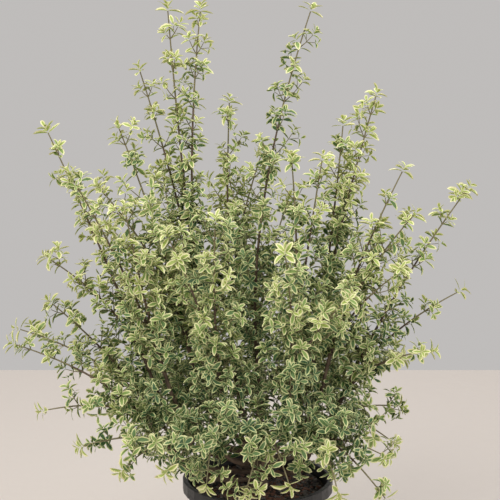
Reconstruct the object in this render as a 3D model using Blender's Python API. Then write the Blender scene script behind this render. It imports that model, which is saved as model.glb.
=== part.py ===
"""A bushy Australian mint shrub with cream-edged leaves, whole, in its nursery pot.

Many thin boughs spring from a short trunk that stands in the potting mix. Each bough bows
outwards, then rises, and ends at its fork. There its mass of foliage takes over: one to three
leaders with pairs of side shoots, and leaves larger than life that each stand for a tuft.
Units are metres, +Z is up, and the origin is the centre of the pot's flat underside.
"""

import math
import random
from collections import namedtuple

import bmesh
import bpy
from mathutils import Matrix, Vector
from mathutils.kdtree import KDTree

# Pot: a tapered nursery pot with a band round its rim and notches that drain it
POT_HEIGHT = 0.190
POT_FOOT_RADIUS = 0.074
POT_NECK_RADIUS = 0.0985
POT_RIM_RADIUS = 0.105
RIM_BAND = 0.016
POT_WALL = 0.003
POT_SIDES = 32
DRAIN_NOTCHES = 8
NOTCH_WIDTH = 0.014
NOTCH_HEIGHT = 0.010

# Potting mix: it fills the pot to just under the rim and falls slightly towards the wall
SOIL_LEVEL = 0.178
SOIL_FALL = 0.004
GAP = 0.0003

# Trunk: flat cut on the mix, flared at the foot
TRUNK_HEIGHT = 0.080
TRUNK_LEAN = Vector((0.004, 0.003))
TRUNK_RADIUS = 0.0105
TRUNK_TOP_RADIUS = 0.0085
ROOT_FLARE = 0.006
FLARE_HEIGHT = 0.020
TRUNK_SIDES = 12
TRUNK_RINGS = 12

# Boughs: tapering from the trunk to the fork, bowed outwards and down from the straight line
BOUGH_BASE_RADIUS = 0.0036
BOUGH_FORK_RADIUS = 0.0026
BOUGH_BOW = 0.30
BOUGH_SIDES = 5
BOUGH_STEPS = 5

# Leaders: they carry a bough on to the crown's outline
LEADER_TIP_RADIUS = 0.0020
LEADER_STEPS = 3
LEADER_PULL = 0.42
LEADER_FORK_SHARE = 0.15
TWIG_SIDES = 3

# Side shoots and leaves
SHOOT_BASE_RADIUS = 0.0009
SHOOT_TIP_RADIUS = 0.0009
SHOOT_ANGLE = math.radians(52)
SHOOT_LIFT = 0.22
TIP_SHARE = 0.40
LEAF_LENGTH = 0.042
LEAF_WIDTH = 0.019
LEAF_THICKNESS = 0.0018
LEAF_WIDEST = 0.50
LEAF_ANGLE = math.radians(48)
LEAF_PAIR_SHARE = 0.55
LAST_PAIR_SHARE = 0.75
SHORTEST_SHOOT = 0.010

# Room that foliage keeps round it
SAMPLE_STEP = 0.004
SPACE_MARGIN = 0.004
LIMB_MARGIN = 0.0025
POT_MARGIN = 0.004

# One row for each bough: how far up the trunk it springs, its fork, the furthest point that
# each leader's leaves reach, the length of its side shoots, and the distance between pairs
Bough = namedtuple("Bough", "perch fork tips reach spacing")
BOUGHS = {
    "centre": Bough(None, (0.000, 0.008, 0.340), [(0.072, 0.020, 0.852)], 0.085, 0.185),
    "spire": Bough(
        0.070,
        (-0.075, 0.035, 0.380),
        [(-0.124, 0.060, 0.850), (-0.078, 0.050, 0.850), (-0.166, 0.080, 0.765)],
        0.070,
        0.130,
    ),
    "mid_left": Bough(
        0.059, (-0.035, 0.065, 0.350), [(-0.040, 0.100, 0.720), (0.008, 0.120, 0.645)], 0.085, 0.115
    ),
    "mid_right": Bough(
        0.062, (0.045, -0.050, 0.350), [(0.086, -0.050, 0.662), (0.044, -0.040, 0.662)], 0.080, 0.115
    ),
    "centre_right": Bough(
        0.066, (0.075, 0.000, 0.350), [(0.116, 0.010, 0.700), (0.162, 0.020, 0.738)], 0.075, 0.130
    ),
    "left_inner": Bough(
        0.060, (-0.090, -0.020, 0.360), [(-0.190, -0.010, 0.698), (-0.216, -0.050, 0.622)], 0.080, 0.115
    ),
    "right_inner": Bough(
        0.054,
        (0.090, -0.040, 0.345),
        [(0.196, -0.040, 0.645), (0.212, -0.050, 0.585), (0.195, -0.080, 0.515)],
        0.070,
        0.115,
    ),
    "left_second": Bough(
        0.050, (-0.120, -0.060, 0.340), [(-0.250, -0.080, 0.645), (-0.176, -0.100, 0.605)], 0.070, 0.130
    ),
    "left_tall": Bough(
        0.042, (-0.145, 0.010, 0.325), [(-0.290, 0.020, 0.688), (-0.295, 0.000, 0.515)], 0.065, 0.130
    ),
    "right": Bough(
        0.040,
        (0.105, -0.018, 0.285),
        [(0.286, -0.030, 0.618), (0.285, 0.000, 0.468), (0.240, -0.070, 0.400)],
        0.060,
        0.140,
    ),
    "front_left": Bough(
        0.056, (-0.045, -0.085, 0.320), [(-0.118, -0.165, 0.580), (-0.055, -0.165, 0.600)], 0.085, 0.110
    ),
    "front_right": Bough(
        0.045, (0.040, -0.085, 0.315), [(0.033, -0.180, 0.560), (0.122, -0.165, 0.500)], 0.085, 0.110
    ),
    "back_left": Bough(
        0.048, (-0.075, 0.090, 0.300), [(-0.215, 0.165, 0.520), (-0.142, 0.185, 0.610)], 0.085, 0.115
    ),
    "back": Bough(
        0.052, (0.000, 0.100, 0.300), [(-0.050, 0.200, 0.620), (0.048, 0.215, 0.560)], 0.085, 0.115
    ),
    "back_right": Bough(
        0.057, (0.070, 0.090, 0.300), [(0.138, 0.165, 0.610), (0.205, 0.165, 0.500)], 0.085, 0.115
    ),
    "low_left": Bough(
        0.031, (-0.135, 0.020, 0.262), [(-0.344, 0.030, 0.405), (-0.292, 0.000, 0.452)], 0.065, 0.130
    ),
    "low_left_front": Bough(
        0.020, (-0.130, -0.045, 0.257), [(-0.336, -0.070, 0.410), (-0.300, -0.085, 0.318)], 0.065, 0.130
    ),
    "skirt_left": Bough(
        0.011, (-0.105, -0.080, 0.245), [(-0.246, -0.125, 0.280), (-0.188, -0.160, 0.255)], 0.070, 0.110
    ),
    "skirt_front_left": Bough(
        0.036, (-0.050, -0.080, 0.265), [(-0.127, -0.185, 0.260), (-0.070, -0.180, 0.235)], 0.070, 0.100
    ),
    "skirt_front": Bough(
        0.026, (0.010, -0.080, 0.265), [(-0.020, -0.180, 0.225), (0.045, -0.180, 0.235)], 0.070, 0.100
    ),
    "skirt_right": Bough(
        0.018,
        (0.070, -0.075, 0.250),
        [(0.182, -0.130, 0.265), (0.180, -0.150, 0.205), (0.108, -0.180, 0.225)],
        0.070,
        0.100,
    ),
    "low_right": Bough(
        0.028, (0.090, 0.025, 0.245), [(0.212, 0.030, 0.290), (0.200, -0.010, 0.245)], 0.065, 0.110
    ),
    "skirt_back_left": Bough(
        0.018, (-0.085, 0.085, 0.245), [(-0.250, 0.170, 0.305), (-0.165, 0.225, 0.345)], 0.080, 0.115
    ),
    "skirt_back_right": Bough(
        0.018, (0.075, 0.090, 0.245), [(0.225, 0.160, 0.325), (0.120, 0.225, 0.345)], 0.080, 0.115
    ),
    "skirt_back": Bough(
        0.030, (0.000, 0.100, 0.245), [(-0.075, 0.240, 0.270), (0.050, 0.245, 0.270)], 0.080, 0.110
    ),
}

FOLIAGE_SEED = 41


def clear_scene():
    """Remove the objects the scene opens with."""
    for item in list(bpy.data.objects):
        bpy.data.objects.remove(item, do_unlink=True)


def surface(name, colour, roughness):
    """A plain material."""
    material = bpy.data.materials.new(name)
    material.use_nodes = True
    shader = material.node_tree.nodes["Principled BSDF"]
    shader.inputs["Base Color"].default_value = (*colour, 1.0)
    shader.inputs["Roughness"].default_value = roughness
    shader.inputs["Metallic"].default_value = 0.0
    return material


def add_object(name, shape, material=None):
    """Turn a bmesh into a named object."""
    mesh = bpy.data.meshes.new(name)
    bmesh.ops.recalc_face_normals(shape, faces=shape.faces)
    shape.to_mesh(mesh)
    shape.free()
    if material:
        mesh.materials.append(material)
    item = bpy.data.objects.new(name, mesh)
    bpy.context.collection.objects.link(item)
    return item


def turned(name, profile, material):
    """A body of revolution from a profile of (radius, height) points that starts and ends on the axis."""
    shape = bmesh.new()
    points = [shape.verts.new((radius, 0.0, height)) for radius, height in profile]
    edges = [shape.edges.new(pair) for pair in zip(points, points[1:])]
    bmesh.ops.spin(
        shape,
        geom=points + edges,
        axis=(0, 0, 1),
        cent=(0, 0, 0),
        angle=2 * math.pi,
        steps=POT_SIDES,
        use_merge=True,
    )
    bmesh.ops.remove_doubles(shape, verts=shape.verts, dist=1e-5)
    return add_object(name, shape, material)


def pot_wall_radius(height):
    """The outside of the pot's tapered wall."""
    share = height / (POT_HEIGHT - RIM_BAND)
    return POT_FOOT_RADIUS + (POT_NECK_RADIUS - POT_FOOT_RADIUS) * share


def make_pot(material):
    """The pot, with its rim band and the notches round its foot."""
    neck = POT_HEIGHT - RIM_BAND
    pot = turned(
        "pot",
        [
            (0, 0),
            (POT_FOOT_RADIUS, 0),
            (POT_NECK_RADIUS, neck),
            (POT_RIM_RADIUS, neck),
            (POT_RIM_RADIUS, POT_HEIGHT),
            (POT_NECK_RADIUS, POT_HEIGHT),
            (pot_wall_radius(neck) - POT_WALL, neck),
            (pot_wall_radius(POT_WALL) - POT_WALL, POT_WALL),
            (0, POT_WALL),
        ],
        material,
    )
    for index in range(DRAIN_NOTCHES):
        cut_notch(pot, 2 * math.pi * (index + 0.5) / DRAIN_NOTCHES)
    return pot


def cut_notch(pot, turn):
    """Cut one drain notch through the corner between the pot's wall and its floor."""
    shape = bmesh.new()
    bmesh.ops.create_cube(shape, size=1.0)
    depth = 4 * POT_WALL
    centre = (POT_FOOT_RADIUS, 0.0, POT_WALL + NOTCH_HEIGHT / 2)
    placing = Matrix.Rotation(turn, 4, "Z") @ Matrix.Translation(centre)
    sizes = Matrix.Diagonal((depth, NOTCH_WIDTH, NOTCH_HEIGHT, 1.0))
    bmesh.ops.transform(shape, matrix=placing @ sizes, verts=shape.verts)
    cutter = add_object("notch_cutter", shape)
    cut = pot.modifiers.new("notch", "BOOLEAN")
    cut.operation = "DIFFERENCE"
    cut.object = cutter
    settle(pot)
    bpy.data.objects.remove(cutter, do_unlink=True)


def settle(item):
    """Apply an object's modifiers."""
    bpy.context.view_layer.update()
    mesh = bpy.data.meshes.new_from_object(item.evaluated_get(bpy.context.evaluated_depsgraph_get()))
    item.modifiers.clear()
    item.data = mesh


def make_potting_mix(material):
    """The plug of bark-based mix, clear of the pot's wall and floor."""
    floor = POT_WALL + GAP
    edge = SOIL_LEVEL - SOIL_FALL
    inset = POT_WALL + 2 * GAP
    return turned(
        "potting_mix",
        [
            (0, floor),
            (pot_wall_radius(floor) - inset, floor),
            (pot_wall_radius(edge) - inset, edge),
            (0.7 * POT_NECK_RADIUS, SOIL_LEVEL - SOIL_FALL / 4),
            (0.3 * POT_NECK_RADIUS, SOIL_LEVEL),
            (0, SOIL_LEVEL),
        ],
        material,
    )


def trunk_axis(height):
    """The trunk's centre at a height above the mix."""
    offset = TRUNK_LEAN * (height / TRUNK_HEIGHT)
    return Vector((offset.x, offset.y, SOIL_LEVEL + GAP + height))


def trunk_radius(height):
    """The trunk's radius at a height above the mix, with its taper and root flare."""
    taper = TRUNK_RADIUS + (TRUNK_TOP_RADIUS - TRUNK_RADIUS) * height / TRUNK_HEIGHT
    flare = max(0.0, 1 - height / FLARE_HEIGHT)
    return taper + ROOT_FLARE * flare * flare


def steady_guide(direction):
    """The axis that lies least along a direction."""
    sizes = [abs(part) for part in direction]
    guide = Vector((0, 0, 0))
    guide[sizes.index(min(sizes))] = 1
    return guide


def sideways(direction, turn, guide=None):
    """A unit vector square to a direction, turned round it from a guide."""
    first = direction.cross(guide or steady_guide(direction)).normalized()
    second = direction.cross(first).normalized()
    return math.cos(turn) * first + math.sin(turn) * second


def ring_points(centre, direction, radius, sides, roll=0.0, guide=None):
    """The corners of a ring round a centre."""
    turns = [roll + 2 * math.pi * index / sides for index in range(sides)]
    return [centre + radius * sideways(direction, turn, guide) for turn in turns]


def add_tube(shape, rings, start, end):
    """Join rings of points into a closed tube. Its ends run to a point, or are flat with None."""
    corners = [[shape.verts.new(point) for point in ring] for ring in rings]
    sides = len(corners[0])
    for near, far in zip(corners, corners[1:]):
        for index in range(sides):
            after = (index + 1) % sides
            shape.faces.new((near[index], near[after], far[after], far[index]))
    for ring, middle in ((corners[0], start), (corners[-1], end)):
        if middle is None:
            shape.faces.new(ring)
            continue
        centre = shape.verts.new(middle)
        for index in range(sides):
            shape.faces.new((ring[index], ring[(index + 1) % sides], centre))


def tube_rings(path, start_radius, end_radius, sides, roll=0.0):
    """Rings along a path of (point, direction) pairs, tapering evenly."""
    last = len(path) - 1
    guide = path_guide(path)
    rings = []
    for index, (point, direction) in enumerate(path):
        radius = start_radius + (end_radius - start_radius) * index / last
        rings.append(ring_points(point, direction, radius, sides, roll, guide))
    return rings


def path_guide(path):
    """One guide for a whole path, so that its rings don't twist."""
    return steady_guide(path[-1][0] - path[0][0])


def make_trunk(material):
    """The short trunk, from its flat cut on the mix to the fork at its top."""
    heights = [TRUNK_HEIGHT * (index / TRUNK_RINGS) ** 1.3 for index in range(TRUNK_RINGS + 1)]
    upright = Vector((0, 0, 1))
    rings = [
        ring_points(trunk_axis(height), upright, trunk_radius(height), TRUNK_SIDES)
        for height in heights
    ]
    shape = bmesh.new()
    add_tube(shape, rings, None, None)
    return add_object("trunk", shape, material)


def bend_point(start, control, end, share):
    """A point on the curve that leaves start towards control and arrives at end from it."""
    rest = 1 - share
    return rest * rest * start + 2 * rest * share * control + share * share * end


def bend_direction(start, control, end, share):
    """The curve's direction at a share of its way."""
    return ((1 - share) * (control - start) + share * (end - control)).normalized()


def bend_path(start, control, end, steps):
    """Points and directions along the curve."""
    curve = (start, control, end)
    shares = [index / steps for index in range(steps + 1)]
    return [(bend_point(*curve, share), bend_direction(*curve, share)) for share in shares]


def bough_curve(bough):
    """A bough's start, control point and fork."""
    fork = Vector(bough.fork)
    if bough.perch is None:
        start = trunk_axis(TRUNK_HEIGHT) + Vector((0, 0, GAP))
        return start, start + Vector((0, 0, 0.5 * (fork.z - start.z))), fork
    axis = trunk_axis(bough.perch)
    heading = Vector((fork.x - axis.x, fork.y - axis.y, 0)).normalized()
    start = axis + heading * (trunk_radius(bough.perch) + GAP)
    across = Vector((fork.x - start.x, fork.y - start.y, 0))
    rise = Vector((0, 0, fork.z - start.z))
    return start, start + (0.5 + BOUGH_BOW) * across + (0.5 - BOUGH_BOW) * rise, fork


def onto_trunk(point, direction):
    """Slide a point along a direction until it is just clear of the trunk's round side."""
    near, far = -0.02, 0.02
    for _ in range(30):
        middle = (near + far) / 2
        place = point + middle * direction
        height = place.z - SOIL_LEVEL - GAP
        away = (place - trunk_axis(height)).length
        if away < trunk_radius(height) + GAP:
            near = middle
        else:
            far = middle
    return point + far * direction


def make_bough(name, bough, material):
    """One tapering limb whose foot is cut to fit the trunk's side."""
    start, control, fork = bough_curve(bough)
    path = bend_path(start, control, fork, BOUGH_STEPS)
    rings = tube_rings(path, BOUGH_BASE_RADIUS, BOUGH_FORK_RADIUS, BOUGH_SIDES)
    if bough.perch is not None:
        rings[0] = [onto_trunk(point, path[0][1]) for point in rings[0]]
    shape = bmesh.new()
    add_tube(shape, rings, start, None)
    return add_object("bough_" + name, shape, material)


def leader_curves(bough):
    """The curves of a bough's leaders, from just past its fork to the last leaf's root."""
    start, control, fork = bough_curve(bough)
    onwards = (fork - control).normalized()
    curves = []
    for tip in bough.tips:
        foot = fork + onwards * GAP
        if curves:
            first_path = bend_path(*curves[0], LEADER_STEPS)
            foot = foot.lerp(first_path[1][0], LEADER_FORK_SHARE)
        way = Vector(tip) - foot
        end = Vector(tip) - way.normalized() * LEAF_LENGTH
        curves.append((foot, foot + onwards * (way.length * LEADER_PULL), end))
    return curves


def curve_length(curve):
    """The length of a curve, from a few chords."""
    path = bend_path(*curve, LEADER_STEPS * 2)
    return sum((b[0] - a[0]).length for a, b in zip(path, path[1:]))


def samples(start, end):
    """Evenly spaced points on a straight line, both ends included."""
    count = max(1, math.ceil((end - start).length / SAMPLE_STEP))
    return [start.lerp(end, index / count) for index in range(count + 1)]


def tree_of(points):
    """A search tree of points."""
    tree = KDTree(len(points))
    for index, point in enumerate(points):
        tree.insert(point, index)
    tree.balance()
    return tree


def curve_samples(curve):
    """Close points along a curve."""
    steps = max(2, math.ceil(curve_length(curve) / SAMPLE_STEP * 2))
    return [point for point, _ in bend_path(*curve, steps)]


class Space:
    """The room of one mass: nearer its own leaders than any other's, clear of limbs and pot."""

    def __init__(self, name):
        own, others = [], []
        for other, bough in BOUGHS.items():
            target = own if other == name else others
            for curve in leader_curves(bough):
                target.extend(curve_samples(curve))
        limbs = [point for bough in BOUGHS.values() for point in curve_samples(bough_curve(bough))]
        self.own = tree_of(own)
        self.others = tree_of(others)
        self.limbs = tree_of(limbs)

    def holds(self, points):
        """True if every point lies in this mass's room."""
        return all(self.holds_point(point) for point in points)

    def holds_point(self, point):
        own_distance = self.own.find(point)[2]
        if own_distance + SPACE_MARGIN > self.others.find(point)[2]:
            return False
        if self.limbs.find(point)[2] < BOUGH_BASE_RADIUS + LIMB_MARGIN:
            return False
        trunk_room = TRUNK_RADIUS + ROOT_FLARE + LIMB_MARGIN
        if point.z < SOIL_LEVEL + TRUNK_HEIGHT + LIMB_MARGIN and point.xy.length < trunk_room:
            return False
        return point.z > POT_HEIGHT + POT_MARGIN or point.xy.length > POT_RIM_RADIUS + POT_MARGIN


class Blade:
    """The leaf that ends a leader or a shoot, whose three-sided section grows out of the twig's."""

    def __init__(self, path, roll):
        root, direction = path[-1]
        guide = path_guide(path)
        middle = root + direction * (LEAF_LENGTH * LEAF_WIDEST)
        edge = sideways(direction, roll + math.pi / 2, guide) * (LEAF_WIDTH / 2)
        face = sideways(direction, roll, guide) * LEAF_THICKNESS
        self.ring = [middle + face, middle + edge, middle - edge]
        self.tip = root + direction * LEAF_LENGTH

    def samples(self):
        """Points along its edges."""
        return samples(self.ring[1], self.tip) + samples(self.ring[2], self.tip)


def twig_object(path, start_radius, end_radius, roll, blade):
    """A three-sided twig that ends in a leaf."""
    shape = bmesh.new()
    rings = tube_rings(path, start_radius, end_radius, TWIG_SIDES, roll)
    add_tube(shape, [*rings, blade.ring], None, blade.tip)
    return add_object("twig", shape)


def leaf_corners(root, direction, side, length):
    """A leaf's six corners: root, tip, two edges and two faces."""
    face = direction.cross(side).normalized()
    middle = root + direction * (length * LEAF_WIDEST)
    half_width = side * (LEAF_WIDTH / 2 * length / LEAF_LENGTH)
    half_thickness = face * (LEAF_THICKNESS / 2)
    around = [middle + half_width, middle + half_thickness, middle - half_width, middle - half_thickness]
    return root, root + direction * length, around


def leaf_object(root, tip, around):
    """A leaf of eight faces."""
    shape = bmesh.new()
    ends = [shape.verts.new(root), shape.verts.new(tip)]
    corners = [shape.verts.new(point) for point in around]
    for index, corner in enumerate(corners):
        after = corners[(index + 1) % len(corners)]
        for end in ends:
            shape.faces.new((corner, after, end))
    return add_object("leaf", shape)


def pair_directions(direction, turn, angle):
    """Two directions that stand out from a stem on opposite sides."""
    for side in (0, math.pi):
        yield math.cos(angle) * direction + math.sin(angle) * sideways(direction, turn + side)


class Mass:
    """The pieces of one mass of foliage, before they are joined."""

    def __init__(self, name, bough, chance):
        self.space = Space(name)
        self.chance = chance
        self.bough = bough
        self.pieces = []

    def add_leaf(self, root, direction):
        """Add a leaf if it fits in the room."""
        length = LEAF_LENGTH * self.chance.uniform(0.85, 1.1)
        side = sideways(direction, self.chance.uniform(0, math.pi))
        root, tip, around = leaf_corners(root, direction, side, length)
        outline = []
        for edge in (around[0], around[2]):
            outline += samples(root, edge)[1:] + samples(edge, tip)
        if self.space.holds(outline):
            self.pieces.append(leaf_object(root, tip, around))

    def add_shoot(self, root, direction, length):
        """Add a side shoot that ends in a leaf and bears a pair of leaves, if it fits."""
        end = root + direction * length
        path = [(root, direction), (end, direction)]
        roll = self.chance.uniform(0, math.pi)
        blade = Blade(path, roll)
        if not self.space.holds(samples(root, end)[1:] + blade.samples()):
            return
        self.pieces.append(twig_object(path, SHOOT_BASE_RADIUS, SHOOT_TIP_RADIUS, roll, blade))
        for leaf_direction in pair_directions(direction, self.chance.uniform(0, math.pi), LEAF_ANGLE):
            self.add_leaf(root.lerp(end, LEAF_PAIR_SHARE), leaf_direction)

    def add_leader(self, curve):
        """Add a leader that ends in a leaf, and its pairs of side shoots."""
        path = bend_path(*curve, LEADER_STEPS)
        roll = self.chance.uniform(0, math.pi)
        blade = Blade(path, roll)
        self.pieces.append(twig_object(path, BOUGH_FORK_RADIUS * 0.95, LEADER_TIP_RADIUS, roll, blade))
        pairs = max(1, round(curve_length(curve) / self.bough.spacing))
        first_turn = self.chance.uniform(0, math.pi)
        for pair in range(pairs):
            turn = first_turn + pair * math.pi / 2 + self.chance.uniform(-0.3, 0.3)
            self.add_pair(curve, (pair + LAST_PAIR_SHARE) / pairs, turn)

    def add_pair(self, curve, share, turn):
        """Add two opposite side shoots, shorter towards the leader's tip."""
        root = bend_point(*curve, share)
        direction = bend_direction(*curve, share)
        for way in pair_directions(direction, turn, SHOOT_ANGLE):
            lifted = (way + Vector((0, 0, SHOOT_LIFT))).normalized()
            reach = self.bough.reach * (1 - (1 - TIP_SHARE) * share) * self.chance.uniform(0.85, 1.15)
            self.add_shoot(root, lifted, max(SHORTEST_SHOOT, reach - LEAF_LENGTH))


def join_pieces(name, pieces, material):
    """Fuse a mass's twigs and leaves into one closed body."""
    group = bpy.data.collections.new(name + "_pieces")
    bpy.context.scene.collection.children.link(group)
    stem = pieces[0]
    for piece in pieces[1:]:
        bpy.context.collection.objects.unlink(piece)
        group.objects.link(piece)
    join = stem.modifiers.new("join", "BOOLEAN")
    join.operation = "UNION"
    join.solver = "MANIFOLD"
    join.operand_type = "COLLECTION"
    join.collection = group
    settle(stem)
    for piece in pieces[1:]:
        bpy.data.objects.remove(piece, do_unlink=True)
    bpy.data.collections.remove(group)
    stem.name = name
    stem.data.name = name
    stem.data.materials.clear()
    stem.data.materials.append(material)
    keep_main_body(stem.data)
    return stem


def keep_main_body(mesh):
    """Keep the largest connected body of a mesh, so that no scrap or sealed hollow stays."""
    shape = bmesh.new()
    shape.from_mesh(mesh)
    waiting = set(shape.faces)
    bodies = []
    while waiting:
        body = set()
        edge_of_body = [waiting.pop()]
        while edge_of_body:
            face = edge_of_body.pop()
            body.add(face)
            for edge in face.edges:
                for neighbour in edge.link_faces:
                    if neighbour in waiting:
                        waiting.discard(neighbour)
                        edge_of_body.append(neighbour)
        bodies.append(body)
    bodies.sort(key=len)
    scraps = [face for body in bodies[:-1] for face in body]
    bmesh.ops.delete(shape, geom=scraps, context="FACES")
    shape.to_mesh(mesh)
    shape.free()


def make_mass(name, bough, order, material):
    """A bough's mass of foliage, as one closed body."""
    mass = Mass(name, bough, random.Random(FOLIAGE_SEED + order))
    for curve in leader_curves(bough):
        mass.add_leader(curve)
    return join_pieces("foliage_" + name, mass.pieces, material)


def main():
    """Build the whole plant in its pot."""
    clear_scene()
    make_pot(surface("pot_plastic", (0.012, 0.012, 0.013), 0.45))
    make_potting_mix(surface("potting_mix", (0.030, 0.020, 0.014), 0.95))
    bark = surface("bark", (0.115, 0.075, 0.048), 0.80)
    leaf_green = surface("leaf_green", (0.330, 0.430, 0.150), 0.55)
    make_trunk(bark)
    for order, (name, bough) in enumerate(BOUGHS.items()):
        make_bough(name, bough, bark)
        make_mass(name, bough, order, leaf_green)


main()
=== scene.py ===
"""Looks of a variegated Australian mint bush in its nursery pot.

Boughs and leaders follow the same rows and rule as the solids, and here they carry on to side
shoots, finer shoots and pairs of small cream-edged leaves. Units are metres, +Z is up.
"""

import math
import random
from collections import namedtuple

import bpy
import numpy as np
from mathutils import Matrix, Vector, noise


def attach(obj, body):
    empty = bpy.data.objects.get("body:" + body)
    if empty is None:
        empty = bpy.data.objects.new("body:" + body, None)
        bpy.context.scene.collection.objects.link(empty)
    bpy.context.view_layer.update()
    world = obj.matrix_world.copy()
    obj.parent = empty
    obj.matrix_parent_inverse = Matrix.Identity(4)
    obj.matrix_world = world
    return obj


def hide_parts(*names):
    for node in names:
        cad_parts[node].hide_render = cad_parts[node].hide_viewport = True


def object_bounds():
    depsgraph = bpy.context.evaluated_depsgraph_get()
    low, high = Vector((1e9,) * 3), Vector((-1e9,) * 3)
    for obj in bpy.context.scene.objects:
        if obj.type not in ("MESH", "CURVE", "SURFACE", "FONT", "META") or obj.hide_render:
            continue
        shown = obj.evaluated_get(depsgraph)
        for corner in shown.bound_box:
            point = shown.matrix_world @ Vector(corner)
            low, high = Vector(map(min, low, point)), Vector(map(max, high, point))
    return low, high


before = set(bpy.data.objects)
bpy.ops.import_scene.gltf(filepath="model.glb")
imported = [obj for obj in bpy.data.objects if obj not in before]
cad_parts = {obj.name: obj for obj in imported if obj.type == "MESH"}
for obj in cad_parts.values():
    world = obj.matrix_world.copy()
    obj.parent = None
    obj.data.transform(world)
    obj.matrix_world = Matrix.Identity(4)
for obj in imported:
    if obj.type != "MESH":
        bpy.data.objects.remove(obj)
solid_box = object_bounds()

# Camera: the photo looks slightly down on the plant
PICTURE_SIDE = 500
SENSOR_WIDTH = 36.0
CAMERA_PITCH = math.radians(12)
CAMERA_DISTANCE = 2.3
CAMERA_AIM = Vector((-0.0109, 0.0, 0.515))
METRES_PER_PIXEL = 0.00136

# Pot and mix, as the solids have them
SOIL_LEVEL = 0.178
GAP = 0.0003
POT_RIM_RADIUS = 0.105
POT_NECK_RADIUS = 0.0985

# Room that the foliage leaves round the pot, and its lowest point beside it
ROOM_BESIDE_RIM = 0.003
ROOM_OVER_MIX = 0.006
LOWEST_FOLIAGE = 0.12

# Trunk
TRUNK_HEIGHT = 0.080
TRUNK_LEAN = Vector((0.004, 0.003))
TRUNK_RADIUS = 0.0105
TRUNK_TOP_RADIUS = 0.0085
ROOT_FLARE = 0.006
FLARE_HEIGHT = 0.020
TRUNK_STEPS = 32
TRUNK_RELIEF = 0.08

# Boughs and leaders
BOUGH_BASE_RADIUS = 0.0036
BOUGH_FORK_RADIUS = 0.0026
BOUGH_BOW = 0.30
LEADER_TIP_RADIUS = 0.0008
LEADER_TAPER_POWER = 0.8
LEADER_PULL = 0.42
LEADER_FORK_SHARE = 0.15
LEADER_CHORDS = 3
YOUNG_WOOD_SHARE = 0.72
LENGTH_CHORDS = 8
STEM_STEP = 0.005
FEWEST_BOUGH_STEPS = 6
FEWEST_LEADER_STEPS = 10
BARK_SIDES = 8
BARK_RELIEF = 0.16
RELIEF_SCALE = 220.0
RELIEF_STRETCH = 0.35

# Side shoots: pairs along a leader and its bough, then finer shoots in pairs along each
BOUGH_SHOOT_START = 0.45
LOW_NODE_SPACING = 0.024
HIGH_NODE_SPACING = 0.036
NODE_SPACING_RANGE = (0.75, 1.25)
LAST_NODE_SHARE = 0.97
LEADER_TURN_SPREAD = 0.3
SHOOT_ANGLE = math.radians(50)
SHOOT_LIFT = 0.22
TIP_SHARE = 0.40
SHOOT_LENGTH_RANGE = (0.55, 1.15)
SHORTEST_SHOOT = 0.008
SHOOT_RADIUS = 0.0008
SHOOT_TIP_RADIUS = 0.0004
SHOOT_SIDES = 4
SHOOT_RISE = 0.45
SHOOT_STEP = 0.012
SHOOT_TURN_SPREAD = 0.2
TWIG_SPACING = 0.013
FIRST_TWIG_SHARE = 0.8
TWIG_ROW_END = 0.6
TWIG_CHANCE = 0.62
TWIG_LENGTH = (0.004, 0.016)
TWIG_RADIUS = 0.00045
TWIG_SIDES = 3

# Leaves: pairs at the nodes, and tufts of pairs at the ends of shoots
LEAF_LENGTH = 0.0165
LEAF_WIDTH = 0.0072
LEAVES_A_PIECE = 7200
LEAF_FOLD_RANGE = (0.15, 0.75)
LEAF_ARCH_RANGE = (0.0, 0.5)
LEAF_TWIST_RANGE = (-0.35, 0.35)
MIDDLE_RANGE = (0.85, 1.1)
LEAF_SIZE_RANGE = (0.8, 1.15)
LEAF_TURN_SPREAD = 0.15
LEAF_LEAN_SPREAD = 0.25
LEAF_ROLL_SPREAD = 0.35
NODE_LEAF_ANGLE = math.radians(70)
LEADER_LEAF_SIZE = 0.95
SHOOT_LEAF_SIZE = 0.9
OPEN_ANGLE = math.radians(78)
CLOSED_ANGLE = math.radians(28)
TUFT_LENGTH = 0.009
TUFT_LEAF_SIZE = 1.05
TUFT_LEAF_LOSS = 0.55
TUFT_PAIRS = 4
TWIG_TUFT_PAIRS = 2
LEADER_TUFT_SIZE = 1.15
SHOOT_TUFT_SIZE = (0.85, 1.05)
TWIG_TUFT_SIZE = (0.65, 0.95)

# Level of a shoot's tone, from 0, deep, to 1, lime: shares of height, reach and nearness to the
# tip, how much it varies, and how it differs at nodes and in tufts. The shares of height and
# reach
# are painted light and shade: leaves high up and far out are painted lighter, and leaves low down
# and inside the bush darker. Nearness to the tip stands for paler young growth.
HEIGHT_LEVEL = 0.45
REACH_LEVEL = 0.25
TIP_LEVEL = 0.30
FULL_REACH = 0.25
LEVEL_SPREAD = 0.2
SHOOT_LEVEL_SPREAD = 0.15
PICK_SPREAD = 0.12
LEADER_LEAF_DROP = 0.15
SHOOT_LEAF_DROP = 0.1
SHOOT_TUFT_RISE = 0.1
TUFT_TIP_RISE = 0.15

FOLIAGE_SEED = 41
CHIP_SEED = 48

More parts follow.
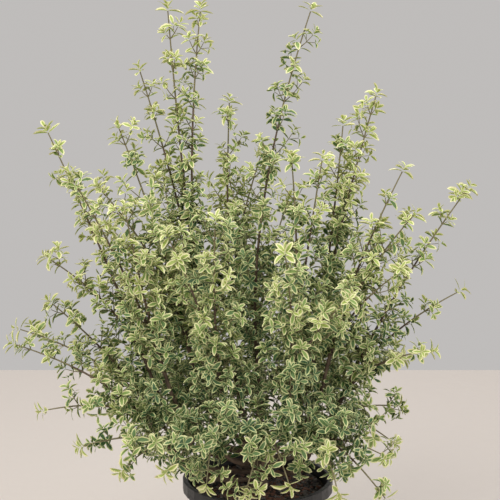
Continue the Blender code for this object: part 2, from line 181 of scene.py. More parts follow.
Bough = namedtuple("Bough", "perch fork tips reach")
BOUGHS = {
    "centre": Bough(None, (0.000, 0.008, 0.340), [(0.072, 0.020, 0.852)], 0.085),
    "spire": Bough(
        0.070,
        (-0.075, 0.035, 0.380),
        [(-0.124, 0.060, 0.850), (-0.078, 0.050, 0.850), (-0.166, 0.080, 0.765)],
        0.070,
    ),
    "mid_left": Bough(
        0.059, (-0.035, 0.065, 0.350), [(-0.040, 0.100, 0.720), (0.008, 0.120, 0.645)], 0.085
    ),
    "mid_right": Bough(
        0.062, (0.045, -0.050, 0.350), [(0.086, -0.050, 0.662), (0.044, -0.040, 0.662)], 0.080
    ),
    "centre_right": Bough(
        0.066, (0.075, 0.000, 0.350), [(0.116, 0.010, 0.700), (0.162, 0.020, 0.738)], 0.075
    ),
    "left_inner": Bough(
        0.060, (-0.090, -0.020, 0.360), [(-0.190, -0.010, 0.698), (-0.216, -0.050, 0.622)], 0.080
    ),
    "right_inner": Bough(
        0.054,
        (0.090, -0.040, 0.345),
        [(0.196, -0.040, 0.645), (0.212, -0.050, 0.585), (0.195, -0.080, 0.515)],
        0.070,
    ),
    "left_second": Bough(
        0.050, (-0.120, -0.060, 0.340), [(-0.250, -0.080, 0.645), (-0.176, -0.100, 0.605)], 0.070
    ),
    "left_tall": Bough(
        0.042, (-0.145, 0.010, 0.325), [(-0.290, 0.020, 0.688), (-0.295, 0.000, 0.515)], 0.065
    ),
    "right": Bough(
        0.040,
        (0.105, -0.018, 0.285),
        [(0.286, -0.030, 0.618), (0.285, 0.000, 0.468), (0.240, -0.070, 0.400)],
        0.060,
    ),
    "front_left": Bough(
        0.056, (-0.045, -0.085, 0.320), [(-0.118, -0.165, 0.580), (-0.055, -0.165, 0.600)], 0.085
    ),
    "front_right": Bough(
        0.045, (0.040, -0.085, 0.315), [(0.033, -0.180, 0.560), (0.122, -0.165, 0.500)], 0.085
    ),
    "back_left": Bough(
        0.048, (-0.075, 0.090, 0.300), [(-0.215, 0.165, 0.520), (-0.142, 0.185, 0.610)], 0.085
    ),
    "back": Bough(
        0.052, (0.000, 0.100, 0.300), [(-0.050, 0.200, 0.620), (0.048, 0.215, 0.560)], 0.085
    ),
    "back_right": Bough(
        0.057, (0.070, 0.090, 0.300), [(0.138, 0.165, 0.610), (0.205, 0.165, 0.500)], 0.085
    ),
    "low_left": Bough(
        0.031, (-0.135, 0.020, 0.262), [(-0.344, 0.030, 0.405), (-0.292, 0.000, 0.452)], 0.065
    ),
    "low_left_front": Bough(
        0.020, (-0.130, -0.045, 0.257), [(-0.336, -0.070, 0.410), (-0.300, -0.085, 0.318)], 0.065
    ),
    "skirt_left": Bough(
        0.011, (-0.105, -0.080, 0.245), [(-0.246, -0.125, 0.280), (-0.188, -0.160, 0.255)], 0.070
    ),
    "skirt_front_left": Bough(
        0.036, (-0.050, -0.080, 0.265), [(-0.127, -0.185, 0.260), (-0.070, -0.180, 0.235)], 0.070
    ),
    "skirt_front": Bough(
        0.026, (0.010, -0.080, 0.265), [(-0.020, -0.180, 0.225), (0.045, -0.180, 0.235)], 0.070
    ),
    "skirt_right": Bough(
        0.018,
        (0.070, -0.075, 0.250),
        [(0.182, -0.130, 0.265), (0.180, -0.150, 0.205), (0.108, -0.180, 0.225)],
        0.070,
    ),
    "low_right": Bough(
        0.028, (0.090, 0.025, 0.245), [(0.212, 0.030, 0.290), (0.200, -0.010, 0.245)], 0.065
    ),
    "skirt_back_left": Bough(
        0.018, (-0.085, 0.085, 0.245), [(-0.250, 0.170, 0.305), (-0.165, 0.225, 0.345)], 0.080
    ),
    "skirt_back_right": Bough(
        0.018, (0.075, 0.090, 0.245), [(0.225, 0.160, 0.325), (0.120, 0.225, 0.345)], 0.080
    ),
    "skirt_back": Bough(
        0.030, (0.000, 0.100, 0.245), [(-0.075, 0.240, 0.270), (0.050, 0.245, 0.270)], 0.080
    ),
}

# Leaf tones from the shaded inside of the bush to its young tips: green middle, cream edge,
# and how much of the half width the green middle takes. The tones are partly painted light and
# shade, darker for leaves low and inside and lighter for leaves high and outside, with the cream
# edges darkened along with the greens. They are partly the leaves' own paler young growth.
LeafTone = namedtuple("LeafTone", "green cream middle")
LEAF_TONES = {
    "deep": LeafTone((0.050, 0.120, 0.040), (0.600, 0.640, 0.300), 0.74),
    "mature_half_shaded": LeafTone((0.110, 0.200, 0.060), (0.680, 0.690, 0.340), 0.70),
    "fresh_half_lit": LeafTone((0.220, 0.330, 0.080), (0.760, 0.740, 0.390), 0.62),
    "lime": LeafTone((0.380, 0.480, 0.110), (0.820, 0.790, 0.450), 0.55),
}

# Finishes: plain roughness, the grain's scale and stretch, its range of roughness and its depth
Finish = namedtuple("Finish", "roughness scale stretch grain_roughness depth")
PLASTIC = Finish(0.4, 260.0, 1.0, (0.32, 0.55), 0.0002)
DAMP_MIX = Finish(0.9, 500.0, 1.0, (0.75, 0.98), 0.003)
CHIP = Finish(0.9, 700.0, 1.0, (0.7, 0.95), 0.0006)
BARK = Finish(0.8, 600.0, 0.25, (0.65, 0.9), 0.0006)
YOUNG_STEM = Finish(0.6, 500.0, 0.3, (0.5, 0.7), 0.0002)
LEAF_GREEN = Finish(0.5, 900.0, 1.0, (0.42, 0.60), 0.0003)
LEAF_CREAM = Finish(0.5, 900.0, 1.0, (0.45, 0.62), 0.0002)
PALE_FLOOR = Finish(0.8, 30.0, 1.0, (0.7, 0.9), 0.001)
GRAIN_DETAIL = 6.0
GRAIN_NOISE = (0.3, 0.7)

# Colours in soft patches
Patches = namedtuple("Patches", "scale dark light")
PLASTIC_PATCHES = Patches(30.0, (0.008, 0.008, 0.009), (0.020, 0.020, 0.021))
MIX_PATCHES = Patches(180.0, (0.008, 0.006, 0.005), (0.060, 0.038, 0.026))
BARK_PATCHES = Patches(90.0, (0.075, 0.048, 0.032), (0.165, 0.115, 0.078))
PATCH_DETAIL = 8.0
PATCH_NOISE = (0.35, 0.65)

PLASTIC_COLOUR = (0.012, 0.012, 0.013)
MIX_COLOUR = (0.03, 0.02, 0.014)
BARK_COLOUR = (0.115, 0.075, 0.048)
YOUNG_STEM_COLOUR = (0.215, 0.185, 0.095)

# Sockets of a Mix node set to colours, whose names repeat
FIRST_COLOUR = 6
SECOND_COLOUR = 7
MIXED_COLOUR = 2


def new_material(name, colour, roughness):
    """A material with a Principled shader, and that shader."""
    material = bpy.data.materials.new(name)
    material.use_nodes = True
    shader = material.node_tree.nodes["Principled BSDF"]
    shader.inputs["Base Color"].default_value = (*colour, 1.0)
    shader.inputs["Roughness"].default_value = roughness
    return material, shader


def new_group(name, inputs, outputs):
    """An empty node group with named inputs and outputs."""
    group = bpy.data.node_groups.new(name, "ShaderNodeTree")
    for label, kind, value in inputs:
        socket = group.interface.new_socket(label, in_out="INPUT", socket_type=kind)
        socket.default_value = value
    for label, kind in outputs:
        group.interface.new_socket(label, in_out="OUTPUT", socket_type=kind)
    return group, group.nodes.new("NodeGroupInput"), group.nodes.new("NodeGroupOutput")


def grain_group():
    """Fine grain: a height that varies, and a roughness that varies with it."""
    group, given, made = new_group(
        "surface_grain",
        [
            ("Scale", "NodeSocketFloat", 200.0),
            ("Stretch", "NodeSocketFloat", 1.0),
            ("Low Roughness", "NodeSocketFloat", 0.4),
            ("High Roughness", "NodeSocketFloat", 0.7),
        ],
        [("Roughness", "NodeSocketFloat"), ("Height", "NodeSocketFloat")],
    )
    nodes, links = group.nodes, group.links
    place = nodes.new("ShaderNodeTexCoord")
    squash = nodes.new("ShaderNodeVectorMath")
    squash.operation = "MULTIPLY"
    stretch = nodes.new("ShaderNodeCombineXYZ")
    stretch.inputs["X"].default_value = 1.0
    stretch.inputs["Y"].default_value = 1.0
    links.new(given.outputs["Stretch"], stretch.inputs["Z"])
    links.new(place.outputs["Object"], squash.inputs[0])
    links.new(stretch.outputs["Vector"], squash.inputs[1])
    pattern = nodes.new("ShaderNodeTexNoise")
    pattern.inputs["Detail"].default_value = GRAIN_DETAIL
    links.new(squash.outputs["Vector"], pattern.inputs["Vector"])
    links.new(given.outputs["Scale"], pattern.inputs["Scale"])
    spread = nodes.new("ShaderNodeMapRange")
    spread.inputs["From Min"].default_value = GRAIN_NOISE[0]
    spread.inputs["From Max"].default_value = GRAIN_NOISE[1]
    links.new(pattern.outputs["Fac"], spread.inputs["Value"])
    links.new(given.outputs["Low Roughness"], spread.inputs["To Min"])
    links.new(given.outputs["High Roughness"], spread.inputs["To Max"])
    links.new(spread.outputs["Result"], made.inputs["Roughness"])
    links.new(pattern.outputs["Fac"], made.inputs["Height"])
    return group


def patches_group():
    """Two colours in soft patches."""
    group, given, made = new_group(
        "colour_patches",
        [
            ("Scale", "NodeSocketFloat", 40.0),
            ("Dark", "NodeSocketColor", (0, 0, 0, 1)),
            ("Light", "NodeSocketColor", (1, 1, 1, 1)),
        ],
        [("Color", "NodeSocketColor")],
    )
    nodes, links = group.nodes, group.links
    place = nodes.new("ShaderNodeTexCoord")
    pattern = nodes.new("ShaderNodeTexNoise")
    pattern.inputs["Detail"].default_value = PATCH_DETAIL
    links.new(place.outputs["Object"], pattern.inputs["Vector"])
    links.new(given.outputs["Scale"], pattern.inputs["Scale"])
    spread = nodes.new("ShaderNodeMapRange")
    spread.inputs["From Min"].default_value = PATCH_NOISE[0]
    spread.inputs["From Max"].default_value = PATCH_NOISE[1]
    links.new(pattern.outputs["Fac"], spread.inputs["Value"])
    blend = nodes.new("ShaderNodeMix")
    blend.data_type = "RGBA"
    links.new(spread.outputs["Result"], blend.inputs["Factor"])
    links.new(given.outputs["Dark"], blend.inputs[FIRST_COLOUR])
    links.new(given.outputs["Light"], blend.inputs[SECOND_COLOUR])
    links.new(blend.outputs[MIXED_COLOUR], made.inputs["Color"])
    return group


def grained_material(name, colour, finish, group):
    """A material with the grain group in it, and its shader."""
    material, shader = new_material(name, colour, finish.roughness)
    nodes, links = material.node_tree.nodes, material.node_tree.links
    grain = nodes.new("ShaderNodeGroup")
    grain.node_tree = group
    grain.inputs["Scale"].default_value = finish.scale
    grain.inputs["Stretch"].default_value = finish.stretch
    grain.inputs["Low Roughness"].default_value = finish.grain_roughness[0]
    grain.inputs["High Roughness"].default_value = finish.grain_roughness[1]
    relief = nodes.new("ShaderNodeBump")
    relief.inputs["Strength"].default_value = 1.0
    relief.inputs["Distance"].default_value = finish.depth
    links.new(grain.outputs["Height"], relief.inputs["Height"])
    links.new(relief.outputs["Normal"], shader.inputs["Normal"])
    links.new(grain.outputs["Roughness"], shader.inputs["Roughness"])
    return material, shader


def add_patches(material, shader, group, colours):
    """Place the patches group in a material."""
    nodes, links = material.node_tree.nodes, material.node_tree.links
    patches = nodes.new("ShaderNodeGroup")
    patches.node_tree = group
    patches.inputs["Scale"].default_value = colours.scale
    patches.inputs["Dark"].default_value = (*colours.dark, 1.0)
    patches.inputs["Light"].default_value = (*colours.light, 1.0)
    links.new(patches.outputs["Color"], shader.inputs["Base Color"])


def mesh_piece(name, points, corners, sizes, materials, choices=None, smooth=True):
    """An object from arrays of points, face corners and face sizes."""
    mesh = bpy.data.meshes.new(name)
    mesh.vertices.add(len(points))
    mesh.vertices.foreach_set("co", np.asarray(points, np.float32).ravel())
    mesh.loops.add(len(corners))
    mesh.loops.foreach_set("vertex_index", np.asarray(corners, np.int32))
    sizes = np.asarray(sizes, np.int32)
    starts = np.concatenate(([0], np.cumsum(sizes)[:-1])).astype(np.int32)
    mesh.polygons.add(len(sizes))
    mesh.polygons.foreach_set("loop_start", starts)
    mesh.polygons.foreach_set("loop_total", sizes)
    for material in materials:
        mesh.materials.append(material)
    if choices is not None:
        mesh.polygons.foreach_set("material_index", np.asarray(choices, np.int32))
    mesh.polygons.foreach_set("use_smooth", np.full(len(sizes), smooth))
    mesh.update(calc_edges=True)
    mesh.validate()
    item = bpy.data.objects.new(name, mesh)
    bpy.context.scene.collection.objects.link(item)
    return item


def trunk_axis(height):
    """The trunk's centre at a height above the mix."""
    offset = TRUNK_LEAN * (height / TRUNK_HEIGHT)
    return Vector((offset.x, offset.y, SOIL_LEVEL + GAP + height))


def trunk_radius(height):
    """The trunk's radius at a height above the mix."""
    taper = TRUNK_RADIUS + (TRUNK_TOP_RADIUS - TRUNK_RADIUS) * height / TRUNK_HEIGHT
    flare = max(0.0, 1 - height / FLARE_HEIGHT)
    return taper + ROOT_FLARE * flare * flare


def bend_point(curve, share):
    """A point on the curve that leaves its start towards its control point."""
    start, control, end = curve
    rest = 1 - share
    return rest * rest * start + 2 * rest * share * control + share * share * end


def bend_direction(curve, share):
    """The curve's direction at a share of its way."""
    start, control, end = curve
    return ((1 - share) * (control - start) + share * (end - control)).normalized()


def bend_length(curve):
    """The curve's length, from a few chords."""
    points = [bend_point(curve, index / LENGTH_CHORDS) for index in range(LENGTH_CHORDS + 1)]
    return sum((after - before).length for before, after in zip(points, points[1:]))


def bough_curve(bough):
    """A bough's start on the trunk, control point and fork."""
    fork = Vector(bough.fork)
    if bough.perch is None:
        start = trunk_axis(TRUNK_HEIGHT)
        return start, start + Vector((0, 0, 0.5 * (fork.z - start.z))), fork
    axis = trunk_axis(bough.perch)
    across = Vector((fork.x - axis.x, fork.y - axis.y, 0))
    start = axis + across.normalized() * (trunk_radius(bough.perch) - BOUGH_BASE_RADIUS)
    across = Vector((fork.x - start.x, fork.y - start.y, 0))
    rise = Vector((0, 0, fork.z - start.z))
    return start, start + (0.5 + BOUGH_BOW) * across + (0.5 - BOUGH_BOW) * rise, fork


def leader_curves(bough):
    """The curves of a bough's leaders, from its fork to their tips."""
    _, control, fork = bough_curve(bough)
    onwards = (fork - control).normalized()
    curves = []
    for tip in bough.tips:
        foot = fork
        if curves:
            foot = foot.lerp(bend_point(curves[0], 1 / LEADER_CHORDS), LEADER_FORK_SHARE)
        way = Vector(tip) - foot
        end = Vector(tip) - way.normalized() * LEAF_LENGTH
        curves.append((foot, foot + onwards * (way.length * LEADER_PULL), end))
    return curves


def steady_guide(direction):
    """The axis that lies least along a direction."""
    sizes = [abs(part) for part in direction]
    guide = Vector((0, 0, 0))
    guide[sizes.index(min(sizes))] = 1
    return guide


def sideways(direction, turn):
    """A unit vector square to a direction, turned round it."""
    first = direction.cross(steady_guide(direction)).normalized()
    second = direction.cross(first).normalized()
    return math.cos(turn) * first + math.sin(turn) * second


class Stems:
    """Tubes gathered into one mesh."""

    def __init__(self, sides):
        self.sides = sides
        self.points = []
        self.corners = []
        self.sizes = []
        self.count = 0

    def add(self, path, radii, relief=0.0):
        """Add a tube along a path of points, closed at both ends."""
        path = [Vector(point) for point in path]
        guide = steady_guide(path[-1] - path[0])
        rings = []
        for index, point in enumerate(path):
            before = path[max(0, index - 1)]
            after = path[min(len(path) - 1, index + 1)]
            direction = (after - before).normalized()
            first = direction.cross(guide).normalized()
            second = direction.cross(first)
            for side in range(self.sides):
                turn = 2 * math.pi * side / self.sides
                out = math.cos(turn) * first + math.sin(turn) * second
                radius = radii[index]
                if relief:
                    spot = (point + out * radius) * RELIEF_SCALE
                    spot.z *= RELIEF_STRETCH
                    radius *= 1 + relief * noise.noise(spot)
                rings.append(point + out * radius)
        start = self.count
        self.points.extend(rings)
        self.count += len(rings)
        for ring in range(len(path) - 1):
            for side in range(self.sides):
                after = (side + 1) % self.sides
                low, high = start + ring * self.sides, start + (ring + 1) * self.sides
                self.corners.extend((low + side, low + after, high + after, high + side))
                self.sizes.append(4)
        self.corners.extend(start + side for side in reversed(range(self.sides)))
        self.sizes.append(self.sides)
        last = start + (len(path) - 1) * self.sides
        self.corners.extend(last + side for side in range(self.sides))
        self.sizes.append(self.sides)

    def piece(self, name, material):
        """The mesh of all the tubes."""
        return mesh_piece(name, self.points, self.corners, self.sizes, [material])


class Leaves:
    """Leaves gathered by tone as rows of numbers."""

    def __init__(self):
        self.rows = {tone: [] for tone in LEAF_TONES}

    def add(self, tone, root, direction, face, length, width, chance):
        """Add one leaf."""
        row = (*root, *direction, *face, length, width)
        ranges = (LEAF_FOLD_RANGE, LEAF_ARCH_RANGE, LEAF_TWIST_RANGE)
        bends = tuple(chance.uniform(*limits) for limits in ranges)
        middle = LEAF_TONES[tone].middle * chance.uniform(*MIDDLE_RANGE)
        self.rows[tone].append(row + bends + (middle,))


# A leaf's outline by stations: share of its length, half width there, and the same share where
# the green middle has its own widest points
LeafStation = namedtuple("LeafStation", "along half_width middle_along")
LEAF_STATIONS = [
    LeafStation(0.24, 0.33, 0.24),
    LeafStation(0.58, 0.50, 0.52),
    LeafStation(0.87, 0.33, 0.76),
]
GREEN_TIP = 0.90
STATION_POINTS = 5


def leaf_template():
    """A flat leaf: points as (across, along, part), faces, and which faces are the cream edge.

    The part is 1 for points on the edge of the green middle, whose distance from the midrib
    differs from leaf to leaf, and 0 for the rest.
    """
    points = [(0.0, 0.0, 0)]
    for station in LEAF_STATIONS:
        half = station.half_width
        points += [
            (-half, station.along, 0),
            (-half, station.middle_along, 1),
            (0.0, station.middle_along, 0),
            (half, station.middle_along, 1),
            (half, station.along, 0),
        ]
    green_tip, tip = len(points), len(points) + 1
    points += [(0.0, GREEN_TIP, 0), (0.0, 1.0, 0)]
    faces, edges = [], []
    last = 1 + (len(LEAF_STATIONS) - 1) * STATION_POINTS
    outer_columns = (0, STATION_POINTS - 2)
    for column in range(STATION_POINTS - 1):
        faces.append((0, 2 + column, 1 + column))
        for low in range(1 + column, last + column, STATION_POINTS):
            high = low + STATION_POINTS
            faces.append((low, low + 1, high + 1, high))
        edges += [column in outer_columns] * len(LEAF_STATIONS)
    faces += [
        (last, last + 1, green_tip, tip),
        (last + 1, last + 2, green_tip),
        (last + 2, last + 3, green_tip),
        (last + 3, last + 4, tip, green_tip),
    ]
    edges += [True, False, False, True]
    return np.array(points), faces, np.array(edges, np.int32)


def leaf_piece(name, rows, materials):
    """One mesh of many leaves, each bent and folded in its own way."""
    outline, faces, edges = leaf_template()
    data = np.array(rows)
    root, direction, face = data[:, 0:3], data[:, 3:6], data[:, 6:9]
    length, width, fold, arch, twist, middle = (data[:, column, None] for column in range(9, 15))
    across = np.cross(direction, face)
    share = outline[None, :, 1]
    x = outline[None, :, 0] * width * np.where(outline[None, :, 2] == 1, middle, 1.0)
    y = share * length
    lift = fold * np.abs(x) - arch * length * share * share
    lift = lift + twist * x * share
    points = (
        root[:, None, :]
        + x[..., None] * across[:, None, :]
        + y[..., None] * direction[:, None, :]
        + lift[..., None] * face[:, None, :]
    )
    flat = np.array([corner for one in faces for corner in one])
    sizes = np.array([len(one) for one in faces])
    offsets = np.arange(len(data)) * len(outline)
    corners = (flat[None, :] + offsets[:, None]).ravel()
    return mesh_piece(
        name,
        points.reshape(-1, 3),
        corners,
        np.tile(sizes, len(data)),
        materials,
        np.tile(edges, len(data)),
    )


class Bush:
    """Everything that grows: old wood, young stems and leaves."""

    def __init__(self):
        self.old_wood = Stems(BARK_SIDES)
        self.shoots = Stems(SHOOT_SIDES)
        self.twigs = Stems(TWIG_SIDES)
        self.leaves = Leaves()
        self.chance = random.Random(FOLIAGE_SEED)

    def spread(self, most):
        """A random amount, at most this much up or down."""
        return self.chance.uniform(-most, most)

    def add_trunk(self):
        """The trunk with the relief of its bark."""
        heights = [TRUNK_HEIGHT * index / TRUNK_STEPS for index in range(TRUNK_STEPS + 1)]
        self.old_wood.add(
            [trunk_axis(height) for height in heights],
            [trunk_radius(height) for height in heights],
            TRUNK_RELIEF,
        )

    def add_bough(self, bough):
        """A bough and its leaders, with all that they bear."""
        base = bough_curve(bough)
        self.add_side_shoots(base, bough.reach, BOUGH_SHOOT_START, 0.0)
        for order, curve in enumerate(leader_curves(bough)):
            self.add_stem(base if order == 0 else None, curve)
            self.add_side_shoots(curve, bough.reach, 0.0, 1.0)
            self.add_tuft(curve[2], bend_direction(curve, 1.0), LEADER_TUFT_SIZE, 1.0, TUFT_PAIRS)

    def add_stem(self, base, curve):
        """The wood of a leader, which runs on from its bough without a joint."""
        path, radii = [], []
        if base:
            steps = max(FEWEST_BOUGH_STEPS, round(bend_length(base) / STEM_STEP))
            for index in range(steps):
                share = index / steps
                path.append(bend_point(base, share))
                radii.append(BOUGH_BASE_RADIUS + (BOUGH_FORK_RADIUS - BOUGH_BASE_RADIUS) * share)
        steps = max(FEWEST_LEADER_STEPS, round(bend_length(curve) / STEM_STEP))
        turn = round(steps * YOUNG_WOOD_SHARE)
        places = [bend_point(curve, index / steps) for index in range(steps + 1)]
        slimming = LEADER_TIP_RADIUS - BOUGH_FORK_RADIUS
        sizes = [
            BOUGH_FORK_RADIUS + slimming * (index / steps) ** LEADER_TAPER_POWER
            for index in range(steps + 1)
        ]
        self.old_wood.add(path + places[: turn + 1], radii + sizes[: turn + 1], BARK_RELIEF)
        self.shoots.add(places[turn:], sizes[turn:])

    def add_side_shoots(self, curve, reach, start, tapering):
        """Opposite pairs of side shoots along a curve.

        The tapering is 1 on a leader, where they get shorter towards its tip, and 0 on a bough.
        """
        length = bend_length(curve)
        share = start
        turn = self.chance.uniform(0, math.pi)
        while share < 1.0:
            high = share * tapering
            spacing = LOW_NODE_SPACING + (HIGH_NODE_SPACING - LOW_NODE_SPACING) * high
            share += spacing / length * self.chance.uniform(*NODE_SPACING_RANGE)
            turn += math.pi / 2 + self.spread(LEADER_TURN_SPREAD)
            if share > LAST_NODE_SHARE:
                break
            root = bend_point(curve, share)
            direction = bend_direction(curve, share)
            level = self.tone_level(root, high)
            leaf_level = level - LEADER_LEAF_DROP
            self.add_leaf_pair(
                root, direction, turn, NODE_LEAF_ANGLE, LEADER_LEAF_SIZE, leaf_level
            )
            for side in (0, math.pi):
                out = sideways(direction, turn + side)
                way = math.cos(SHOOT_ANGLE) * direction + math.sin(SHOOT_ANGLE) * out
                way = (way + Vector((0, 0, SHOOT_LIFT))).normalized()
                span = reach * (1 - (1 - TIP_SHARE) * high)
                span *= self.chance.uniform(*SHOOT_LENGTH_RANGE)
                self.add_shoot(root, way, max(SHORTEST_SHOOT, span - LEAF_LENGTH), level)

    def add_shoot(self, root, direction, length, level):
        """A shoot that curves up, with pairs of leaves, finer shoots and a tuft at its end."""
        rise = (direction + Vector((0, 0, SHOOT_RISE))).normalized()
        middle = root + direction * (length * 0.5)
        curve = (root, middle, middle + rise * (length * 0.5))
        if not self.has_room(curve[2]):
            return
        steps = max(2, round(length / SHOOT_STEP))
        path = [bend_point(curve, index / steps) for index in range(steps + 1)]
        slimming = (SHOOT_TIP_RADIUS - SHOOT_RADIUS) / steps
        self.shoots.add(path, [SHOOT_RADIUS + slimming * index for index in range(steps + 1)])
        level += self.spread(SHOOT_LEVEL_SPREAD)
        pairs = int(length / TWIG_SPACING)
        turn = self.chance.uniform(0, math.pi)
        for pair in range(pairs):
            place = (pair + FIRST_TWIG_SHARE) / (pairs + TWIG_ROW_END)
            node = bend_point(curve, place)
            way = bend_direction(curve, place)
            turn += math.pi / 2 + self.spread(SHOOT_TURN_SPREAD)
            leaf_level = level - SHOOT_LEAF_DROP
            self.add_leaf_pair(node, way, turn, NODE_LEAF_ANGLE, SHOOT_LEAF_SIZE, leaf_level)
            for side in (0, math.pi):
                if self.chance.random() < TWIG_CHANCE:
                    self.add_twig(node, way, turn + side, level)
        tuft_size = self.chance.uniform(*SHOOT_TUFT_SIZE)
        self.add_tuft(curve[2], rise, tuft_size, level + SHOOT_TUFT_RISE, TUFT_PAIRS)

    def add_twig(self, root, way, turn, level):
        """A short twig from a node, with a small tuft."""
        out = sideways(way, turn)
        heading = (way * math.cos(SHOOT_ANGLE) + out * math.sin(SHOOT_ANGLE)).normalized()
        end = root + heading * self.chance.uniform(*TWIG_LENGTH)
        if not self.has_room(end):
            return
        self.twigs.add([root, end], [TWIG_RADIUS, TWIG_RADIUS])
        tuft_size = self.chance.uniform(*TWIG_TUFT_SIZE)
        self.add_tuft(end, heading, tuft_size, level, TWIG_TUFT_PAIRS)

    def add_tuft(self, root, way, size, level, pairs):
        """Pairs of leaves close together, smaller and more upright towards the tip."""
        turn = self.chance.uniform(0, math.pi)
        for order in range(pairs):
            share = order / pairs
            place = root + way * (TUFT_LENGTH * size * share)
            angle = OPEN_ANGLE + (CLOSED_ANGLE - OPEN_ANGLE) * share
            leaf_size = size * (TUFT_LEAF_SIZE - TUFT_LEAF_LOSS * share)
            leaf_level = level + TUFT_TIP_RISE * share
            turn += math.pi / 2 + self.spread(SHOOT_TURN_SPREAD)
            self.add_leaf_pair(place, way, turn, angle, leaf_size, leaf_level)

    def add_leaf_pair(self, root, way, turn, angle, size, level):
        """Two opposite leaves at a node."""
        tone = self.pick_tone(level)
        for side in (0, math.pi):
            out = sideways(way, turn + side + self.spread(LEAF_TURN_SPREAD))
            lean = angle + self.spread(LEAF_LEAN_SPREAD)
            direction = (way * math.cos(lean) + out * math.sin(lean)).normalized()
            leaf_size = size * self.chance.uniform(*LEAF_SIZE_RANGE)
            self.add_leaf(tone, root, direction, way, leaf_size)

    def add_leaf(self, tone, root, direction, way, size):
        """One leaf whose upper face looks the way its shoot grows."""
        length = LEAF_LENGTH * size
        if not self.has_room(root + direction * length):
            return
        roll = Vector([self.spread(LEAF_ROLL_SPREAD) for _ in range(3)])
        face = way + roll
        face = (face - direction * face.dot(direction)).normalized()
        self.leaves.add(tone, root, direction, face, length, LEAF_WIDTH * size, self.chance)

    def has_room(self, point):
        """True clear of the pot and the mix."""
        over_pot = point.xy.length < POT_RIM_RADIUS + ROOM_BESIDE_RIM
        if over_pot:
            return point.z > SOIL_LEVEL + ROOM_OVER_MIX
        return point.z > LOWEST_FOLIAGE

    def tone_level(self, point, share):
        """How bright a shoot's leaves are: painted lighter high up and far out and darker low and
        inside, as painted light and shade, and lighter near a tip, where the growth is young.
        """
        # Height and reach paint light on leaves high and outside and shade on leaves low and
        # inside
        height = (point.z - SOIL_LEVEL) / (solid_box[1][2] - SOIL_LEVEL)
        outwards = min(1.0, point.xy.length / FULL_REACH)
        level = HEIGHT_LEVEL * height + REACH_LEVEL * outwards + TIP_LEVEL * share
        return level + self.spread(LEVEL_SPREAD)

    def pick_tone(self, level):
        """The name of the tone for a level from 0, deep, to 1, lime."""
        names = list(LEAF_TONES)
        step = math.floor((level + self.spread(PICK_SPREAD)) * len(names))
        return names[min(len(names) - 1, max(0, step))]


def dress_pot(grain, patches):
    """Moulded black plastic for the pot and damp bark for the mix."""
    plastic, shader = grained_material("black_pot_plastic", PLASTIC_COLOUR, PLASTIC, grain)
    add_patches(plastic, shader, patches, PLASTIC_PATCHES)
    damp, shader = grained_material("damp_mix", MIX_COLOUR, DAMP_MIX, grain)
    add_patches(damp, shader, patches, MIX_PATCHES)
    for node, material in (("pot", plastic), ("potting_mix", damp)):
        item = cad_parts[node]
        item.data.materials.clear()
        item.data.materials.append(material)


CHIP_COLOURS = {
    "dark": (0.020, 0.014, 0.011),
    "gray": (0.110, 0.095, 0.085),
    "red": (0.130, 0.055, 0.032),
}
CHIPS_OF_EACH = 420
CHIP_LENGTH = (0.004, 0.014)
CHIP_WIDTH_SHARE = (0.35, 0.8)
CHIP_HEIGHT = (0.0012, 0.0032)
CHIP_TILT = 0.4
CHIP_CORNERS = 6
CHIP_RAGGED = (0.75, 1.1)
CHIP_TOP_SHARE = 0.85
CHIP_EDGE_ROOM = 0.012


def add_chips(grain):
    """Flat bark chips that lie on the mix."""
    chance = random.Random(CHIP_SEED)
    for name, colour in CHIP_COLOURS.items():
        points, corners, sizes = [], [], []
        for _ in range(CHIPS_OF_EACH):
            distance = (POT_NECK_RADIUS - CHIP_EDGE_ROOM) * math.sqrt(chance.random())
            turn = chance.uniform(0, 2 * math.pi)
            centre = Vector((distance * math.cos(turn), distance * math.sin(turn), SOIL_LEVEL))
            add_chip(points, corners, sizes, centre, chance)
        material, _ = grained_material("bark_chip_" + name, colour, CHIP, grain)
        chips = mesh_piece("bark_chips_" + name, points, corners, sizes, [material], smooth=False)
        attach(chips, "root")


def add_chip(points, corners, sizes, centre, chance):
    """One chip: a ragged six-sided slab, tilted a little."""
    length = chance.uniform(*CHIP_LENGTH)
    width = length * chance.uniform(*CHIP_WIDTH_SHARE)
    height = chance.uniform(*CHIP_HEIGHT)
    turn = chance.uniform(0, math.pi)
    tilt = [chance.uniform(-CHIP_TILT, CHIP_TILT) for _ in range(2)]
    normal = Vector((*tilt, 1)).normalized()
    along = Vector((math.cos(turn), math.sin(turn), 0))
    along = (along - normal * along.dot(normal)).normalized()
    across = normal.cross(along)
    start = len(points)
    outline = []
    for corner in range(CHIP_CORNERS):
        angle = 2 * math.pi * corner / CHIP_CORNERS
        ragged = chance.uniform(*CHIP_RAGGED)
        outline.append(
            along * (math.cos(angle) * length / 2 * ragged)
            + across * (math.sin(angle) * width / 2 * ragged)
        )
    for level, shrink in ((-height / 2, 1.0), (height / 2, CHIP_TOP_SHARE)):
        points.extend(centre + normal * level + place * shrink for place in outline)
    top = start + CHIP_CORNERS
    corners.extend(start + corner for corner in reversed(range(CHIP_CORNERS)))
    corners.extend(top + corner for corner in range(CHIP_CORNERS))
    sizes.extend((CHIP_CORNERS, CHIP_CORNERS))
    for corner in range(CHIP_CORNERS):
        after = (corner + 1) % CHIP_CORNERS
        corners.extend((start + corner, start + after, top + after, top + corner))
        sizes.append(4)


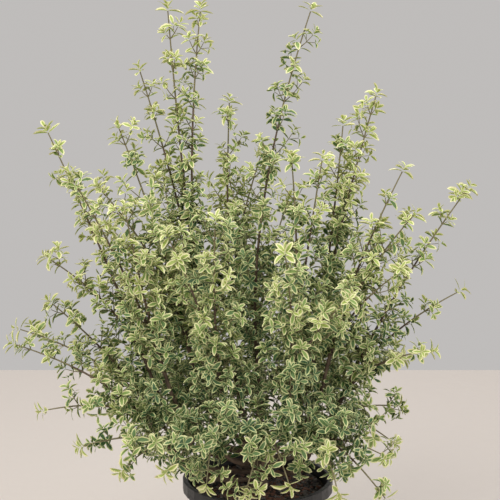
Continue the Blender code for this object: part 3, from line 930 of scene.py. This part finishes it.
def add_bush(grain, patches):
    """Grow the bush and dress it."""
    bush = Bush()
    bush.add_trunk()
    for bough in BOUGHS.values():
        bush.add_bough(bough)
    bark, shader = grained_material("brown_bark", BARK_COLOUR, BARK, grain)
    add_patches(bark, shader, patches, BARK_PATCHES)
    young, _ = grained_material("young_stem", YOUNG_STEM_COLOUR, YOUNG_STEM, grain)
    wood = bush.old_wood.piece("trunk_and_boughs", bark)
    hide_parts("trunk", *("bough_" + name for name in BOUGHS))
    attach(wood, "root")
    for name, tubes in (("young_stems", bush.shoots), ("fine_twigs", bush.twigs)):
        stems = tubes.piece(name, young)
        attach(stems, "root")
    # A green and a cream material for each tone: the darker tones are partly painted shade, the
    # lighter ones partly painted light
    for tone, (green, cream, _) in LEAF_TONES.items():
        blade, _ = grained_material("leaf_green_" + tone, green, LEAF_GREEN, grain)
        margin, _ = grained_material("leaf_cream_" + tone, cream, LEAF_CREAM, grain)
        rows = bush.leaves.rows[tone]
        for part, first in enumerate(range(0, len(rows), LEAVES_A_PIECE)):
            name = f"leaves_{tone}_{part + 1}"
            leaves = leaf_piece(name, rows[first : first + LEAVES_A_PIECE], [blade, margin])
            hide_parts(*("foliage_" + bough for bough in BOUGHS))
            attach(leaves, "root")


WALL_COLOUR = (0.520, 0.505, 0.495)
FLOOR_COLOUR = (0.700, 0.640, 0.590)
FLOOR_SIDE = 2.4
FLOOR_BACK = 1.2

Lamp = namedtuple("Lamp", "place side power colour")
LAMPS = {
    "key": Lamp((-1.2, -1.8, 2.4), 1.6, 42.0, (1.0, 0.98, 0.94)),
    "fill": Lamp((1.8, -1.4, 1.3), 1.8, 16.0, (0.96, 0.98, 1.0)),
    "top": Lamp((0.2, 0.3, 2.6), 1.6, 22.0, (1.0, 1.0, 1.0)),
}
LAMP_AIM = Vector((0.0, 0.0, 0.45))


def add_stage(grain):
    """A plain pale floor that ends behind the plant."""
    front, back = -2 * FLOOR_SIDE, FLOOR_BACK
    points = [
        (-FLOOR_SIDE, front, 0),
        (FLOOR_SIDE, front, 0),
        (FLOOR_SIDE, back, 0),
        (-FLOOR_SIDE, back, 0),
    ]
    material, _ = grained_material("pale_floor", FLOOR_COLOUR, PALE_FLOOR, grain)
    floor = mesh_piece("floor", points, [0, 1, 2, 3], [4], [material], smooth=False)


def add_lights():
    """Soft square lights that look at the plant, with a pale surround."""
    for name, lamp in LAMPS.items():
        light = bpy.data.lights.new(name, "AREA")
        light.shape = "SQUARE"
        light.size = lamp.side
        light.energy = lamp.power
        light.color = lamp.colour
        item = bpy.data.objects.new(name, light)
        item.location = lamp.place
        way = LAMP_AIM - Vector(lamp.place)
        item.rotation_euler = way.to_track_quat("-Z", "Y").to_euler()
        bpy.context.scene.collection.objects.link(item)
    world = bpy.data.worlds.new("pale_surround")
    bpy.context.scene.world = world
    world.use_nodes = True
    world.node_tree.nodes["Background"].inputs["Color"].default_value = (*WALL_COLOUR, 1.0)
    world.node_tree.nodes["Background"].inputs["Strength"].default_value = 1.0


def add_camera():
    """The photo's view: a long lens, slightly above the crown's middle."""
    camera = bpy.data.cameras.new("camera")
    camera.sensor_width = SENSOR_WIDTH
    camera.lens = SENSOR_WIDTH * CAMERA_DISTANCE / (METRES_PER_PIXEL * PICTURE_SIDE)
    item = bpy.data.objects.new("camera", camera)
    back = Vector((0, -math.cos(CAMERA_PITCH), math.sin(CAMERA_PITCH)))
    item.location = CAMERA_AIM + CAMERA_DISTANCE * back
    item.rotation_euler = (math.pi / 2 - CAMERA_PITCH, 0, 0)
    bpy.context.scene.collection.objects.link(item)
    bpy.context.scene.camera = item


bpy.context.scene.view_settings.view_transform = "Standard"
add_camera()
add_lights()
surface_grain = grain_group()
colour_patches = patches_group()
add_stage(surface_grain)
dress_pot(surface_grain, colour_patches)
add_chips(surface_grain)
add_bush(surface_grain, colour_patches)
